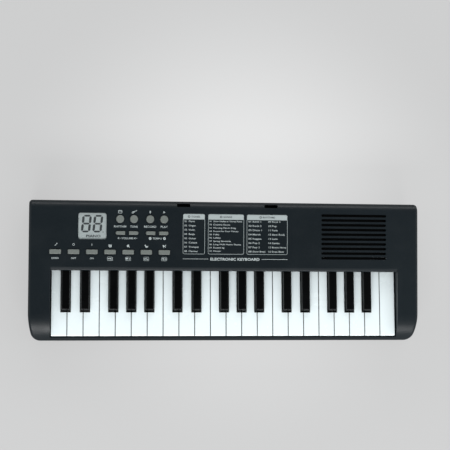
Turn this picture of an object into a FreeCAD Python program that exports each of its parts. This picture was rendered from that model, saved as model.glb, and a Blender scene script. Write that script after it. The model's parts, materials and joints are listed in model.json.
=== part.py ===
import math

import FreeCAD, Part
from FreeCAD import Vector

# Toy electronic keyboard with three octaves of keys and a sloping control panel.
# Millimetres. X runs along the keys, Y towards the rear, Z up.
# The origin is under the middle of the case, on the surface that it stands on.

# Case
case_width = 426.6
case_depth = 150.0
wall = 2.4
foot_height = 1.5
floor_top = 3.7
parting_height = 14.0
parting_gap = 0.3
case_front = -case_depth / 2
case_rear = case_depth / 2

# Control panel: a plane that rises towards the rear
panel_front_height = 39.5
panel_rear_height = 44.0
panel_rear_y = 69.0
panel_slope = math.atan2(panel_rear_height - panel_front_height, panel_rear_y)
shoulder_y = -48.0
shoulder_radius = 36.0
side_edge_radius = 3.0
rear_bevel_start = 70.0
rear_bevel_drop = 5.0
rear_edge_radius = 9.0
rear_corner_radius = 4.0
bottom_step = 0.5
boss_radius = 3.3
screw_well_radius = 4.2
foot_radius = 5.0
foot_places = [(x, y) for x in (-185.0, 0.0, 185.0) for y in (-60.0, 68.0 if x else 26.0)]

# Keys
key_pitch = 17.2
white_count = 22
key_gap = 0.5
key_row_left = -key_pitch * white_count / 2
white_top = 27.0
key_bottom = 14.5
white_front = -70.3
white_shoulder = -44.9
key_tail_end = 26.0
key_wall = 1.3
black_width = 9.7
black_crown_width = 8.0
black_front = -43.6
black_crown_front = -41.6
black_top = 33.2
black_crown_end = 3.0
black_clearance = 0.5
black_offsets = {0: -1.6, 1: 1.9, 3: -2.2, 4: 0.0, 5: 2.3}
well_half_width = 190.0
well_front = -71.3
panel_edge = -0.5
panel_edge_bottom = 36.2
nose_fall_start = 3.2
nose_fall_end = (0.3, 38.7)
nose_front_top = 37.4
lip_top = 25.0

# Pivot rod that every key turns on
pivot_y = 22.0
pivot_height = 20.0
rod_radius = 1.5
rod_clearance = 0.05
rod_half_length = 193.5
hub_radius = 3.4
rib_half_width = 0.6
rib_clearance = 0.35
key_stop_top = 10.4

# Contact board and rubber under the keys
contact_y = -8.0
key_board_bottom = 5.2
key_board_reach = 187.0
board_thickness = 1.6
rubber_thickness = 0.7
key_dome_top = 10.0
plunger_bottom = 12.0

# Buttons, in the plane of the panel
button_rise = 1.3
button_gap = 0.35
flange_overhang = 1.4
flange_thickness = 1.2
stem_bottom = -5.4
button_board_top = -9.0
button_dome_top = -6.6
board_posts = ((-193.0, 12.5), (-193.0, 62.0), (-59.4, 12.5), (-59.4, 62.5))
board_post_radius = 2.2
bar_size = (12.2, 4.8)
bar_row_y = 19.2
bar_first_x = -185.2
bar_pitch = 19.4
bar_names = ("button_demo", "button_power_off", "button_power_on", "pad_1", "pad_2", "pad_3", "pad_4")
round_radius = 4.2
round_row_y = 54.7
round_buttons = {
    "button_rhythm": -116.5,
    "button_tone": -101.6,
    "button_record": -84.2,
    "button_play": -69.1,
}
rocker_row_y = 39.7
rockers = {"volume_rocker": -109.0, "tempo_rocker": -76.6}
rocker_cap = (10.0, 3.75)
rocker_split = 4.2
rocker_gap = 0.5
rocker_pin_depth = -4.6
rocker_pin_radius = 1.0
rocker_beam = (25.0, 5.8)
rocker_dome_reach = 8.0

# Display window
window_centre = (-146.0, 46.8)
window_size = (30.0, 28.0)
window_thickness = 1.5
window_rim = 1.6

# Speaker and its grille
speaker_centre = (140.4, 37.6)
speaker_radius = 28.5
magnet_radius = 11.5
grille_left = 103.9
grille_right = 176.9
grille_first_y = 14.2
grille_pitch = 5.19
grille_count = 10
grille_height = 2.9

# Sockets for a music stand, in the rear edge
stand_slot_centre = 48.05
stand_slot_size = (14.4, 3.7)
stand_slot_y = 70.2
stand_slot_bottom = 28.0

# Battery bay for four AA cells in two rows
bay_half_width = 56.0
bay_front = 34.0
bay_rear = 66.0
bay_top = 19.5
bay_wall = 1.6
cover_gap = 0.3
cover_thickness = 2.0
tongue_places = (-30.0, 30.0)

# Screws that hold the two halves of the case together
screw_places = [(203.0, -45.0), (203.0, 60.0), (94.0, 66.0), (72.0, 31.0), (186.0, 33.0)]
screw_seat = 5.0
screw_boss_top = 8.0
screw_shank_radius = 1.3
screw_shank_end = 18.0
screw_head_radius = 2.6

# Microphone socket in the rear wall
socket_place = (-120.0, 24.0)
socket_radius = 1.8
socket_length = 13.0


def box(low, high):
    """A box between two opposite corners."""
    return Part.makeBox(high[0] - low[0], high[1] - low[1], high[2] - low[2], Vector(*low))


def cylinder(radius, start, direction, length):
    return Part.makeCylinder(radius, length, Vector(*start), Vector(*direction))


def prism(points, low, high):
    """A closed outline in the XY plane, drawn out from one height to another."""
    corners = [Vector(x, y, low) for x, y in points]
    face = Part.Face(Part.makePolygon(corners + corners[:1]))
    return face.extrude(Vector(0, 0, high - low))


def rounded_outline(corners, radii):
    """Edges through the corners, with a round of the given radius at each inner one."""
    edges = []
    previous = corners[0]
    for before, corner, after, radius in zip(corners, corners[1:], corners[2:], radii):
        back = (before - corner).normalize()
        ahead = (after - corner).normalize()
        half_angle = back.getAngle(ahead) / 2
        reach = radius / math.tan(half_angle)
        centre_line = (back + ahead).normalize()
        start = corner + back * reach
        end = corner + ahead * reach
        middle = corner + centre_line * (radius / math.sin(half_angle) - radius)
        edges.append(Part.LineSegment(previous, start).toShape())
        edges.append(Part.Arc(start, middle, end).toShape())
        previous = end
    edges.append(Part.LineSegment(previous, corners[-1]).toShape())
    return edges


def rounded_plate(width, depth, radius, low, high):
    """A rectangular plate with round corners, centred on the origin."""
    x = width / 2
    y = depth / 2
    corners = [(0, -y), (x, -y), (x, y), (-x, y), (-x, -y), (0, -y)]
    edges = rounded_outline([Vector(a, b, low) for a, b in corners], [radius] * 4)
    return Part.Face(Part.Wire(edges)).extrude(Vector(0, 0, high - low))


def cut_all(shape, tools):
    return shape.cut(Part.makeCompound(tools)) if tools else shape


def one_solid(shape):
    """The shape's single solid, with faces that continue each other made one."""
    merged = shape.removeSplitter()
    return merged.Solids[0] if len(merged.Solids) == 1 else merged


def split_between(shape, regions):
    """The shape as solids that meet face to face, one for each region that it crosses."""
    return Part.makeCompound([solid for region in regions for solid in shape.common(region).Solids])


def panel_height(y):
    return panel_front_height + y * math.tan(panel_slope)


def on_panel(shape, x, y):
    """Moves a shape drawn about the origin onto the panel, its Z along the panel's normal."""
    placed = shape.copy()
    placed.rotate(Vector(0, 0, 0), Vector(1, 0, 0), math.degrees(panel_slope))
    placed.translate(Vector(x, y, panel_height(y)))
    return placed


def save(name, shape):
    shape.exportStep("parts/" + name + ".step")
    sound = "ok" if shape.isValid() else "NOT VALID"
    print(name, sound, len(shape.Solids), "solids", round(shape.Volume), "mm3")


# Outer shape of the case ---------------------------------------------------

def case_outline(inset):
    """The case from above: long curves at the front of its ends, tight round rear corners."""
    end_radius = 90.0
    corner_radius = 10.5
    turn = math.asin(0.25)
    rear_radius = 4.0
    curve_y = case_front + corner_radius + (end_radius - corner_radius) * math.sin(turn)
    curve_x = case_width / 2 - end_radius
    corner_x = curve_x + (end_radius - corner_radius) * math.cos(turn)
    corner_y = curve_y - (end_radius - corner_radius) * math.sin(turn)
    rear_x = case_width / 2 - rear_radius
    rear_y = case_rear - rear_radius
    edges = []
    for side in (1, -1):

        def around(x, y, radius, angle):
            reach = radius - inset
            return Vector(side * (x + reach * math.cos(angle)), y - reach * math.sin(angle), 0)

        end_start = around(curve_x, curve_y, end_radius, 0)
        end_middle = around(curve_x, curve_y, end_radius, turn / 2)
        corner_start = around(curve_x, curve_y, end_radius, turn)
        corner_middle = around(corner_x, corner_y, corner_radius, (turn + math.pi / 2) / 2)
        corner_end = around(corner_x, corner_y, corner_radius, math.pi / 2)
        rear_start = around(rear_x, rear_y, rear_radius, -math.pi / 2)
        rear_middle = around(rear_x, rear_y, rear_radius, -math.pi / 4)
        rear_end = around(rear_x, rear_y, rear_radius, 0)
        edges.append(Part.Arc(rear_start, rear_middle, rear_end).toShape())
        edges.append(Part.LineSegment(rear_end, end_start).toShape())
        edges.append(Part.Arc(end_start, end_middle, corner_start).toShape())
        edges.append(Part.Arc(corner_start, corner_middle, corner_end).toShape())
        if side == 1:
            right_front = corner_end
            right_rear = rear_start
    edges.append(Part.LineSegment(right_front, corner_end).toShape())
    edges.append(Part.LineSegment(right_rear, rear_start).toShape())
    return Part.Face(Part.Wire(Part.__sortEdges__(edges)))


def case_section(inset, low):
    """The case from its end: round front shoulder, sloping panel, bevelled rear edge."""
    radius = shoulder_radius - inset
    centre_y = shoulder_y + math.sin(panel_slope) * shoulder_radius
    centre_z = panel_height(shoulder_y) - math.cos(panel_slope) * shoulder_radius
    front = case_front + inset
    rear = case_rear - inset

    def shoulder(angle):
        return Vector(0, centre_y - radius * math.sin(angle), centre_z + radius * math.cos(angle))

    steepest = math.asin((centre_y - front) / radius)
    bevel_top = panel_height(rear_bevel_start) - inset
    corners = [
        shoulder(panel_slope),
        Vector(0, rear_bevel_start - inset / 2, bevel_top),
        Vector(0, rear, bevel_top - rear_bevel_drop),
        Vector(0, rear, low),
    ]
    edges = rounded_outline(corners, [rear_edge_radius, rear_corner_radius])
    middle = shoulder((panel_slope + steepest) / 2)
    edges.append(Part.Arc(shoulder(steepest), middle, shoulder(panel_slope)).toShape())
    edges.append(Part.LineSegment(Vector(0, rear, low), Vector(0, front, low)).toShape())
    edges.append(Part.LineSegment(Vector(0, front, low), shoulder(steepest)).toShape())
    return Part.Face(Part.Wire(Part.__sortEdges__(edges)))


def case_block(inset, low):
    """The space inside the case's outline and section, from a given height up."""
    section = case_section(inset, low)
    section.translate(Vector(-case_width, 0, 0))
    along = section.extrude(Vector(2 * case_width, 0, 0))
    up = case_outline(inset).extrude(Vector(0, 0, 60))
    return one_solid(along.common(up))


def round_side_edges(block, low):
    """Rounds the long edges where the top of the case turns down into its ends."""
    chosen = []
    for edge in block.Edges:
        middle = edge.valueAt((edge.FirstParameter + edge.LastParameter) / 2)
        ends = [vertex.Point for vertex in edge.Vertexes]
        upright = abs(ends[0].x - ends[-1].x) < 1e-6 and abs(ends[0].y - ends[-1].y) < 1e-6
        if middle.z < low + 0.5 or upright:
            continue
        normals = []
        for face in block.ancestorsOfType(edge, Part.Face):
            u, v = face.Surface.parameter(middle)
            normals.append(face.normalAt(u, v))
        if len(normals) == 2 and normals[0].getAngle(normals[1]) > math.radians(8):
            chosen.append(edge)
    return block.makeFillet(side_edge_radius, chosen)


# Keys -----------------------------------------------------------------------

def black_centre(boundary):
    """X of the black key at a boundary between white keys, or None where there is none."""
    note = (boundary - 1) % 7
    if boundary < 1 or boundary >= white_count or note not in black_offsets:
        return None
    return key_row_left + boundary * key_pitch + black_offsets[note]


def key_hub(left, right):
    """The round boss at a key's tail, and the pivot bore through it."""
    hub = cylinder(hub_radius, (left, pivot_y, pivot_height), (1, 0, 0), right - left)
    bore = cylinder(
        rod_radius + rod_clearance, (left - 1, pivot_y, pivot_height), (1, 0, 0), right - left + 2
    )
    return hub, bore


def key_plunger(centre, roof):
    """The rib under a key that presses its rubber dome."""
    low = (centre - 1.5, contact_y - 1.0, plunger_bottom)
    high = (centre + 1.5, contact_y + 1.0, roof)
    return box(low, high)


def white_key(index):
    """A hollow white key, full width in front and narrower between the black keys."""
    left = key_row_left + index * key_pitch + key_gap / 2
    right = left + key_pitch - key_gap
    reach = black_width / 2 + black_clearance
    black_left = black_centre(index)
    black_right = black_centre(index + 1)
    tail_left = left if black_left is None else black_left + reach
    tail_right = right if black_right is None else black_right - reach

    def outline(inset):
        """The key's plan, which narrows where it passes a black key."""
        points = [(left + inset, white_front + inset), (right - inset, white_front + inset)]
        if black_right is not None:
            points.append((right - inset, white_shoulder - inset))
            points.append((tail_right - inset, white_shoulder - inset))
        points.append((tail_right - inset, key_tail_end - inset))
        points.append((tail_left + inset, key_tail_end - inset))
        if black_left is not None:
            points.append((tail_left + inset, white_shoulder - inset))
            points.append((left + inset, white_shoulder - inset))
        return points

    shell = prism(outline(0), key_bottom, white_top)
    front_edge = [
        edge for edge in shell.Edges
        if all(abs(v.Y - white_front) < 1e-6 and abs(v.Z - white_top) < 1e-6 for v in edge.Vertexes)
    ]
    shell = shell.makeFillet(1.3, front_edge)
    long_edges = [
        edge for edge in shell.Edges
        if all(abs(v.Z - white_top) < 1e-6 for v in edge.Vertexes)
        and abs(edge.Vertexes[0].X - edge.Vertexes[-1].X) < 1e-6
    ]
    shell = shell.makeChamfer(0.35, long_edges)
    shell = shell.cut(prism(outline(key_wall), key_bottom - 1, white_top - 1.6))
    hub, bore = key_hub(tail_left, tail_right)
    centre = (tail_left + tail_right) / 2
    shell = shell.fuse([hub, key_plunger(centre, white_top - 1.0)])
    room = rib_half_width + rib_clearance
    beside_ribs = [bore]
    for edge, neighbour in ((left - key_gap / 2, black_left), (right + key_gap / 2, black_right)):
        if neighbour is None:
            low = (edge - room, pivot_y - 5.5, 0)
            beside_ribs.append(box(low, (edge + room, key_tail_end + 1, 60)))
    return one_solid(cut_all(shell, beside_ribs))


def black_key(centre):
    """A hollow black key with sloping sides and front, on a lower tail."""
    half = black_width / 2
    crown_half = black_crown_width / 2

    def crown(inset, low, high):
        """The raised part, which narrows towards its top."""
        foot = [
            Vector(-half + inset, black_front + inset, low),
            Vector(half - inset, black_front + inset, low),
            Vector(half - inset, black_crown_end - inset, low),
            Vector(-half + inset, black_crown_end - inset, low),
        ]
        top = [
            Vector(-crown_half + inset, black_crown_front + inset, high),
            Vector(crown_half - inset, black_crown_front + inset, high),
            Vector(crown_half - inset, black_crown_end - inset, high),
            Vector(-crown_half + inset, black_crown_end - inset, high),
        ]
        wires = [Part.makePolygon(foot + foot[:1]), Part.makePolygon(top + top[:1])]
        return Part.makeLoft(wires, True, True)

    raised = crown(0, white_top, black_top)
    rim = [
        edge for edge in raised.Edges
        if all(abs(v.Z - black_top) < 1e-6 for v in edge.Vertexes)
        and not all(abs(v.Y - black_crown_end) < 1e-6 for v in edge.Vertexes)
    ]
    raised = raised.makeFillet(0.9, rim)
    base = box((-half, black_front, key_bottom), (half, key_tail_end, white_top))
    hollow = box(
        (-half + key_wall, black_front + key_wall, key_bottom - 1),
        (half - key_wall, key_tail_end - key_wall, white_top - 1.6),
    )
    hub, bore = key_hub(-half, half)
    shell = base.fuse(raised).cut([hollow, crown(1.6, white_top - 2.0, black_top - 2.0)])
    shell = shell.fuse([hub, key_plunger(0, black_top - 1.0)])
    key = one_solid(shell.cut(bore))
    key.translate(Vector(centre, 0, 0))
    return key


def rib_places():
    """X of the ribs that carry the pivot rod: both ends, and where two white keys meet."""
    places = [-well_half_width - 2.0, well_half_width + 2.0]
    for boundary in range(1, white_count):
        if black_centre(boundary) is None:
            places.append(key_row_left + boundary * key_pitch)
    return sorted(places)


# Buttons ---------------------------------------------------------------------

def button_body(cap, flange):
    """A cap with the flange that keeps it under the panel and the stem that presses its dome."""
    top_edges = [
        edge for edge in cap.Edges if all(abs(v.Z - button_rise) < 1e-6 for v in edge.Vertexes)
    ]
    stem = box((-1.5, -1.5, stem_bottom), (1.5, 1.5, -wall - 0.3))
    return one_solid(cap.makeFillet(0.6, top_edges).fuse([flange, stem]))


def bar_button():
    width, depth = bar_size
    low = -wall - 0.3 - flange_thickness
    cap = rounded_plate(width, depth, 1.0, low, button_rise)
    wider = 2 * flange_overhang
    flange = rounded_plate(width + wider, depth + wider, 1.5, low, low + flange_thickness)
    return button_body(cap, flange)


def round_button():
    low = -wall - 0.3 - flange_thickness
    cap = cylinder(round_radius, (0, 0, low), (0, 0, 1), button_rise - low)
    flange = cylinder(round_radius + flange_overhang, (0, 0, low), (0, 0, 1), flange_thickness)
    return button_body(cap, flange)


def half_pill(side, grow, low, high):
    """One end of a split pill: straight beside the split, half-round outside."""
    width, depth = rocker_cap
    inner = rocker_split / 2 - grow
    radius = depth / 2 + grow
    straight = rocker_split / 2 + width - depth / 2
    inner_x = side * inner
    straight_x = side * straight
    left = min(inner_x, straight_x)
    right = max(inner_x, straight_x)
    end = cylinder(radius, (straight_x, 0, low), (0, 0, 1), high - low)
    return box((left, -radius, low), (right, radius, high)).fuse(end).removeSplitter()


def rocker():
    """Two half-pill caps on one beam that tips on a pin under the panel."""
    beam_low = rocker_pin_depth - 0.6
    beam_high = rocker_pin_depth + 1.2
    length, width = rocker_beam
    beam = box((-length / 2, -width / 2, beam_low), (length / 2, width / 2, beam_high))
    pin = cylinder(rocker_pin_radius, (0, -5.0, rocker_pin_depth), (0, 1, 0), 10.0)
    pieces = [pin]
    for side in (-1, 1):
        cap = half_pill(side, 0, beam_low, button_rise)
        top_edges = [
            edge for edge in cap.Edges if all(abs(v.Z - button_rise) < 1e-6 for v in edge.Vertexes)
        ]
        pieces.append(cap.makeFillet(0.5, top_edges))
        reach = side * rocker_dome_reach
        pieces.append(box((reach - 1, -1, beam_low - 0.4), (reach + 1, 1, beam_low)))
    return one_solid(beam.fuse(pieces))


def button_places():
    """Every spring-loaded button: its name, shape, and place on the panel."""
    places = []
    for number, name in enumerate(bar_names):
        places.append((name, "bar", bar_first_x + number * bar_pitch, bar_row_y))
    for name, x in round_buttons.items():
        places.append((name, "round", x, round_row_y))
    return places


# Upper half of the case -------------------------------------------------------

def panel_openings():
    """Holes in the panel for the buttons, display, sound, and music stand."""
    through = (-wall - 4.0, 6.0)
    tools = []
    for _, form, x, y in button_places():
        if form == "bar":
            width, depth = bar_size
            grow = 2 * button_gap
            hole = rounded_plate(width + grow, depth + grow, 1.2, *through)
        else:
            hole = cylinder(round_radius + button_gap, (0, 0, through[0]), (0, 0, 1), 10.4)
        tools.append(on_panel(hole, x, y))
    for x in rockers.values():
        for side in (-1, 1):
            tools.append(on_panel(half_pill(side, rocker_gap, *through), x, rocker_row_y))
    width, depth = window_size
    recess = rounded_plate(width + 0.3, depth + 0.3, 2.6, -window_thickness, 6.0)
    light = rounded_plate(width - 2 * window_rim, depth - 2 * window_rim, 1.6, *through)
    tools.append(on_panel(recess.fuse(light), *window_centre))
    for row in range(grille_count):
        length = grille_right - grille_left
        slot = rounded_plate(length, grille_height, grille_height / 2 - 0.01, *through)
        centre = (grille_left + grille_right) / 2
        tools.append(on_panel(slot, centre, grille_first_y + row * grille_pitch))
    for side in (-1, 1):
        width, depth = stand_slot_size
        low = (side * stand_slot_centre - width / 2, stand_slot_y - depth / 2, stand_slot_bottom)
        high = (low[0] + width, low[1] + depth, 60.0)
        tools.append(box(low, high))
    return tools


def under_panel_parts(inside):
    """What hangs under the panel: screw bosses, rocker hangers, speaker ring, and posts."""
    parts = []
    for x, y in screw_places:
        for side in (-1, 1):
            low = screw_boss_top + parting_gap
            parts.append(cylinder(boss_radius, (side * x, y, low), (0, 0, 1), 50 - low))
    x, y = speaker_centre
    ring = cylinder(speaker_radius + 2.2, (0, 0, -8.0), (0, 0, 1), 8.0)
    ring = ring.cut(cylinder(speaker_radius + 0.4, (0, 0, -9.0), (0, 0, 1), 10.0))
    ring = ring.cut(box((-50, 24.5, -9.0), (50, 40, 1.0)))
    parts.append(on_panel(ring, x, y))
    for x, y in board_posts:
        post = cylinder(board_post_radius, (0, 0, button_board_top + 0.05), (0, 0, 1), 8.5)
        parts.append(on_panel(post, x, y))
    for side in (-1, 1):
        width, depth = stand_slot_size
        low = (side * stand_slot_centre - width / 2 - 1.4, stand_slot_y - depth / 2 - 1.4, 26.5)
        high = (low[0] + width + 2.8, case_rear, 42.0)
        parts.append(box(low, high))
    hung = [part.common(inside) for part in parts]
    for x in rockers.values():
        for y in (-4.6, 3.4):
            hanger = box((-2.6, y, -6.4), (2.6, y + 1.2, -wall + 0.2))
            radius = rocker_pin_radius + 0.05
            hanger = hanger.cut(cylinder(radius, (0, y - 1, rocker_pin_depth), (0, 1, 0), 4.0))
            hung.append(on_panel(hanger, x, rocker_row_y))
    return hung


def top_case():
    """The upper half: key well, end blocks, sloping panel, and rear edge."""
    low = parting_height + parting_gap
    outside = round_side_edges(case_block(0, low), low)
    inside = case_block(wall, low - 1)
    shell = outside.cut(inside)
    well_walls = []
    for side in (-1, 1):
        near = side * well_half_width
        far = side * (well_half_width + 1.8)
        low_corner = (min(near, far), case_front + 1, low)
        high_corner = (max(near, far), 6.0, 60.0)
        well_walls.append(box(low_corner, high_corner).common(outside))
    front_corner = (-well_half_width - 1, case_front + 1.0, low)
    well_walls.append(box(front_corner, (well_half_width + 1, well_front, 60.0)).common(outside))
    shell = shell.fuse(well_walls)
    well = box((-well_half_width, well_front, low - 1), (well_half_width, 5.2, 60.0))
    lip = box((-well_half_width, case_front - 5, lip_top), (well_half_width, 5.2, 60.0))
    shell = shell.cut([well, lip])
    top = panel_height(5.3)
    corners = [
        Vector(0, 5.3, panel_edge_bottom + 1.0),
        Vector(0, 5.3, top),
        Vector(0, nose_fall_start, panel_height(nose_fall_start)),
        Vector(0, *nose_fall_end),
        Vector(0, panel_edge, nose_front_top),
        Vector(0, panel_edge, panel_edge_bottom),
        Vector(0, 1.9, panel_edge_bottom),
        Vector(0, 5.3, panel_edge_bottom + 1.0),
    ]
    edges = rounded_outline(corners, [0.01, 5.0, 1.6, 0.8, 0.5, 0.3])
    nose = Part.Face(Part.Wire(Part.__sortEdges__(edges)))
    nose.translate(Vector(-well_half_width - 0.5, 0, 0))
    nose = nose.extrude(Vector(2 * well_half_width + 1.0, 0, 0))
    shell = shell.fuse([nose] + under_panel_parts(inside))
    pilots = []
    for x, y in screw_places:
        for side in (-1, 1):
            pilots.append(cylinder(screw_shank_radius + 0.03, (side * x, y, 0), (0, 0, 1), 24.0))
    x, z = socket_place
    rear_hole = cylinder(3.3, (x, case_rear - 6, z), (0, 1, 0), 12.0)
    shell = cut_all(shell, panel_openings() + pilots + [rear_hole])
    # One moulding on the real toy. Here its front is cut off the panel, so that collision
    # pieces can't bridge the key well.
    far = case_width
    end_x = well_half_width - 0.1
    cut_y = panel_edge - 0.1
    return split_between(one_solid(shell), [
        box((-far, cut_y, 0), (far, far, far)),
        box((-far, -far, 0), (-end_x, cut_y, far)),
        box((end_x, -far, 0), (far, cut_y, far)),
        box((-end_x, -far, 0), (end_x, cut_y, far)),
    ])


# Lower half of the case --------------------------------------------------------

def bottom_case():
    """The lower half: floor, feet, battery bay, rod ribs, key stop, and screw wells."""
    outline = case_outline(bottom_step)
    outside = outline.extrude(Vector(0, 0, parting_height - foot_height))
    outside.translate(Vector(0, 0, foot_height))
    bottom_edges = [
        edge for edge in outside.Edges
        if all(abs(v.Z - foot_height) < 1e-6 for v in edge.Vertexes)
    ]
    outside = outside.makeFillet(1.5, bottom_edges)
    inside = case_outline(bottom_step + wall).extrude(Vector(0, 0, 30))
    inside.translate(Vector(0, 0, floor_top))
    shell = outside.cut(inside)

    added = []
    tongue = case_outline(wall + 0.25).cut(case_outline(wall + 1.35)).extrude(Vector(0, 0, 3.5))
    tongue.translate(Vector(0, 0, parting_height - 2.0))
    tongue = tongue.cut(box((-300, -100, 0), (300, -40, 60)))
    added.append(tongue)
    for x in rib_places():
        rib = box(
            (x - rib_half_width, pivot_y - 4.0, floor_top - 0.5),
            (x + rib_half_width, pivot_y + 4.0, pivot_height + hub_radius),
        )
        added.append(rib)
    added.append(box((-187.0, -62.0, floor_top - 0.5), (187.0, -60.0, key_stop_top)))
    for y in (-17.0, 0.0):
        added.append(box((-186.0, y, floor_top - 0.5), (186.0, y + 1.2, key_board_bottom)))
    bay_low = (-bay_half_width - bay_wall, bay_front - bay_wall, foot_height)
    bay_high = (bay_half_width + bay_wall, bay_rear + bay_wall, bay_top + bay_wall)
    added.append(box(bay_low, bay_high))
    for x, y in screw_places:
        for side in (-1, 1):
            well = (side * x, y, foot_height)
            added.append(cylinder(screw_well_radius, well, (0, 0, 1), screw_boss_top - foot_height))
    for x, y in foot_places:
        added.append(cylinder(foot_radius, (x, y, 0), (0, 0, 1), floor_top - 0.5))
    shell = shell.fuse(added)

    tools = []
    bay = box((-bay_half_width, bay_front, 0), (bay_half_width, bay_rear, bay_top))
    tools.append(bay)
    for x in tongue_places:
        tools.append(box((x - 6.0, bay_front - 4.0, 2.35), (x + 6.0, bay_front + 1, 8.5)))
    for x, y in screw_places:
        for side in (-1, 1):
            tools.append(cylinder(3.0, (side * x, y, 0), (0, 0, 1), screw_seat))
            tools.append(cylinder(1.6, (side * x, y, 0), (0, 0, 1), 30.0))
    bore = rod_radius + 0.02
    length = 2 * rod_half_length + 10
    tools.append(cylinder(bore, (-length / 2, pivot_y, pivot_height), (1, 0, 0), length))
    shell = cut_all(shell, tools)
    ledges = []
    for side in (-1, 1):
        near = side * bay_half_width
        far = side * (bay_half_width - 1.4)
        low = (min(near, far), bay_front + 2, 3.85)
        ledges.append(box(low, (max(near, far), bay_rear - 2, 5.0)))
    # One moulding too, cut around the battery bay for the same reason
    far = case_width
    bay_x = bay_half_width + bay_wall + 0.5
    bay_low_y = bay_front - bay_wall - 0.5
    bay_high_y = bay_rear + bay_wall + 0.5
    return split_between(one_solid(shell.fuse(ledges)), [
        box((-far, -far, -1), (-bay_x, far, far)),
        box((bay_x, -far, -1), (far, far, far)),
        box((-bay_x, -far, -1), (bay_x, bay_low_y, far)),
        box((-bay_x, bay_high_y, -1), (bay_x, far, far)),
        box((-bay_x, bay_low_y, -1), (bay_x, bay_high_y, far)),
    ])


def battery_cover():
    """The cover of the battery bay: a plate with two tongues, a catch, and a finger grip."""
    low = foot_height
    high = foot_height + cover_thickness
    plate = box(
        (-bay_half_width + cover_gap, bay_front + cover_gap, low),
        (bay_half_width - cover_gap, bay_rear - cover_gap, high),
    )
    added = []
    for x in tongue_places:
        added.append(box((x - 5.0, bay_front - 2.6, 2.7), (x + 5.0, bay_front + 1.0, high)))
    added.append(box((-6.5, bay_rear - 2.4, high - 0.8), (6.5, bay_rear - 1.2, 9.0)))
    added.append(cylinder(0.5, (-6.0, bay_rear - 1.2, 6.5), (1, 0, 0), 12.0))
    plate = plate.fuse(added)
    grips = []
    for step in range(5):
        y = bay_rear - 6.0 - 2.2 * step
        grips.append(box((-9.0, y, 0), (9.0, y + 1.0, low + 0.5)))
    return one_solid(cut_all(plate, grips))


# Inner pieces ------------------------------------------------------------------

def speaker():
    """A round loudspeaker: rim, basket, cone, and magnet as one piece."""
    points = [
        (0.0, -4.0), (7.0, -5.0), (7.6, -7.0), (24.0, -1.6), (25.6, -0.6), (26.6, -1.0),
        (speaker_radius, -1.0), (speaker_radius, -3.0), (25.5, -4.0), (14.0, -9.0),
        (magnet_radius, -9.0), (magnet_radius, -16.0), (0.0, -16.0),
    ]
    corners = [Vector(r, 0, z) for r, z in points]
    face = Part.Face(Part.makePolygon(corners + corners[:1]))
    body = face.revolve(Vector(0, 0, 0), Vector(0, 0, 1), 360)
    body.translate(Vector(0, 0, -wall - 0.4))
    return on_panel(body, *speaker_centre)


def display_window():
    width, depth = window_size
    pane = rounded_plate(width, depth, 2.5, -window_thickness, 0.0)
    top_edges = [edge for edge in pane.Edges if all(abs(v.Z) < 1e-6 for v in edge.Vertexes)]
    return on_panel(pane.makeChamfer(0.25, top_edges), *window_centre)


def contact_rubber():
    """Rubber sheets with a dome for each key and each button."""
    sheets = []
    rubber_low = key_board_bottom + board_thickness
    strip = box(
        (-key_board_reach, contact_y - 5.5, rubber_low),
        (key_board_reach, contact_y + 5.5, rubber_low + rubber_thickness),
    )
    domes = []
    centres = []
    for index in range(white_count):
        left = key_row_left + index * key_pitch
        blacks = [black_centre(index), black_centre(index + 1)]
        reach = black_width / 2 + black_clearance
        tail_left = left if blacks[0] is None else blacks[0] + reach
        tail_right = left + key_pitch if blacks[1] is None else blacks[1] - reach
        centres.append((tail_left + tail_right) / 2)
        if blacks[1] is not None:
            centres.append(blacks[1])
    for x in centres:
        height = key_dome_top - rubber_low
        domes.append(Part.makeCone(3.2, 2.0, height, Vector(x, contact_y, rubber_low)))
    sheets.append(one_solid(strip.fuse(domes)))
    for row_y, places in button_rows().items():
        left = min(places) - 7.0
        right = max(places) + 7.0
        width = right - left
        middle = (left + right) / 2
        low = button_board_top
        sheet = rounded_plate(width, 8.0, 1.0, low, low + rubber_thickness)
        height = button_dome_top - low
        row_domes = [Part.makeCone(3.0, 1.8, height, Vector(x - middle, 0, low)) for x in places]
        sheets.append(on_panel(one_solid(sheet.fuse(row_domes)), middle, row_y))
    return Part.makeCompound(sheets)


def button_rows():
    """X of every dome in each row of buttons."""
    rows = {bar_row_y: [], round_row_y: [], rocker_row_y: []}
    for _, _, x, y in button_places():
        rows[y].append(x)
    for x in rockers.values():
        rows[rocker_row_y].extend([x - rocker_dome_reach, x + rocker_dome_reach])
    return rows


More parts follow.
